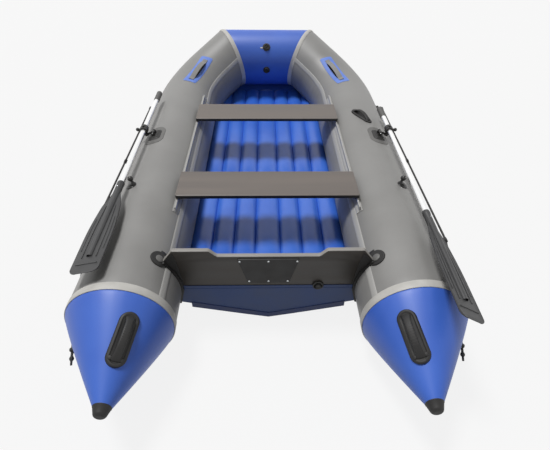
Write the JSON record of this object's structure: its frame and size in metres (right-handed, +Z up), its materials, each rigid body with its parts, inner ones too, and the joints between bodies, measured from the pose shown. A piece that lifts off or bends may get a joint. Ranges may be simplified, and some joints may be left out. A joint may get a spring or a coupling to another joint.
{
  "type": "inflatable boat",
  "caption": "Inflatable rowing and motor boat with air tubes and tail cones, inflated floor, plywood transom, sliding seat boards, hinged rowlocks with oars, handles and a lifeline.",
  "frame": {"origin": "bottom centre of the boat, on the ground under the side tubes, halfway between cone tips and bow", "axes": "+Y to the bow, +X to starboard, +Z up"},
  "size_m": [1.6462, 3.12, 0.586],
  "materials": {
    "grey_pvc": "satin coated fabric",
    "blue_pvc": "satin coated fabric",
    "floor_pvc": "satin coated fabric",
    "cream_tape": "matte glued tape",
    "grey_rail_pvc": "satin extruded PVC",
    "dark_plywood": "dark sealed plywood",
    "seat_plywood": "lacquered plywood",
    "aluminium_tube": "satin anodised",
    "blade_plastic": "moulded",
    "stainless_steel": "polished",
    "black_rope": "braided",
    "webbing": "woven",
    "black_nylon": "moulded",
    "grip_rubber": "moulded",
    "black_rubber": "moulded"
  },
  "bodies": {
    "hull": {"starboard_side_tube": "grey_pvc", "port_side_tube": "grey_pvc", "bow_tube": "blue_pvc", "bow_seam_bands": "cream_tape", "cone_seam_bands": "cream_tape", "starboard_tail_cone": "blue_pvc", "port_tail_cone": "blue_pvc", "cone_caps": "black_rubber", "hull_bottom": "blue_pvc", "keel_strip": "grey_rail_pvc", "inflatable_floor": "floor_pvc", "transom": "dark_plywood", "transom_skirt": "blue_pvc", "drain_plug": "black_rubber", "outer_motor_pad": "black_rubber", "inner_motor_pad": "black_rubber", "starboard_transom_holder": "black_rubber", "port_transom_holder": "black_rubber", "seam_strips": "grey_rail_pvc", "starboard_seat_rail": "grey_rail_pvc", "port_seat_rail": "grey_rail_pvc", "starboard_bow_handle_patch": "blue_pvc", "port_bow_handle_patch": "blue_pvc", "starboard_bow_handle_strap": "webbing", "port_bow_handle_strap": "webbing", "starboard_cone_handle": "black_rubber", "port_cone_handle": "black_rubber", "starboard_grab_handle": "black_rubber", "bow_valve": "black_rubber", "lower_bow_valve": "black_rubber", "tow_ring_patch": "black_rubber", "tow_ring": "stainless_steel", "starboard_oarlock_base": "black_rubber", "port_oarlock_base": "black_rubber", "oar_clips": "black_nylon", "starboard_lifeline": "black_rope", "port_lifeline": "black_rope", "lifeline_fittings": "black_rubber"},
    "fore_seat": {"fore_seat_board": "seat_plywood", "fore_seat_tracks": "black_rubber"},
    "aft_seat": {"aft_seat_board": "seat_plywood", "aft_seat_tracks": "black_rubber"},
    "starboard_rowlock": {"starboard_rowlock_yoke": "black_nylon"},
    "starboard_oar": {"starboard_oar_collar": "black_nylon", "starboard_oar_grip": "grip_rubber", "starboard_oar_shaft": "aluminium_tube", "starboard_oar_blade": "blade_plastic"},
    "port_rowlock": {"port_rowlock_yoke": "black_nylon"},
    "port_oar": {"port_oar_collar": "black_nylon", "port_oar_grip": "grip_rubber", "port_oar_shaft": "aluminium_tube", "port_oar_blade": "blade_plastic"}
  },
  "joints": [
    {"name": "fore_seat_slide", "type": "slide", "parent": "hull", "child": "fore_seat", "axis": [0, 1, 0], "range_m": [-0.1, 0.2]},
    {"name": "aft_seat_slide", "type": "slide", "parent": "hull", "child": "aft_seat", "axis": [0, 1, 0], "range_m": [-0.06, 0.2]},
    {"name": "starboard_oar_lift", "type": "hinge", "parent": "hull", "child": "starboard_rowlock", "pos_m": [0.6419, -0.02, 0.431], "axis": [0, -1, 0], "range_deg": [0, 30]},
    {"name": "starboard_oar_sweep", "type": "hinge", "parent": "starboard_rowlock", "child": "starboard_oar", "pos_m": [0.69, -0.02, 0.445], "axis": [0.2756, 0, 0.9613], "range_deg": [0, 100]},
    {"name": "port_oar_lift", "type": "hinge", "parent": "hull", "child": "port_rowlock", "pos_m": [-0.6419, -0.02, 0.431], "axis": [0, 1, 0], "range_deg": [0, 30]},
    {"name": "port_oar_sweep", "type": "hinge", "parent": "port_rowlock", "child": "port_oar", "pos_m": [-0.69, -0.02, 0.445], "axis": [0.2756, 0, -0.9613], "range_deg": [0, 100]}
  ]
}
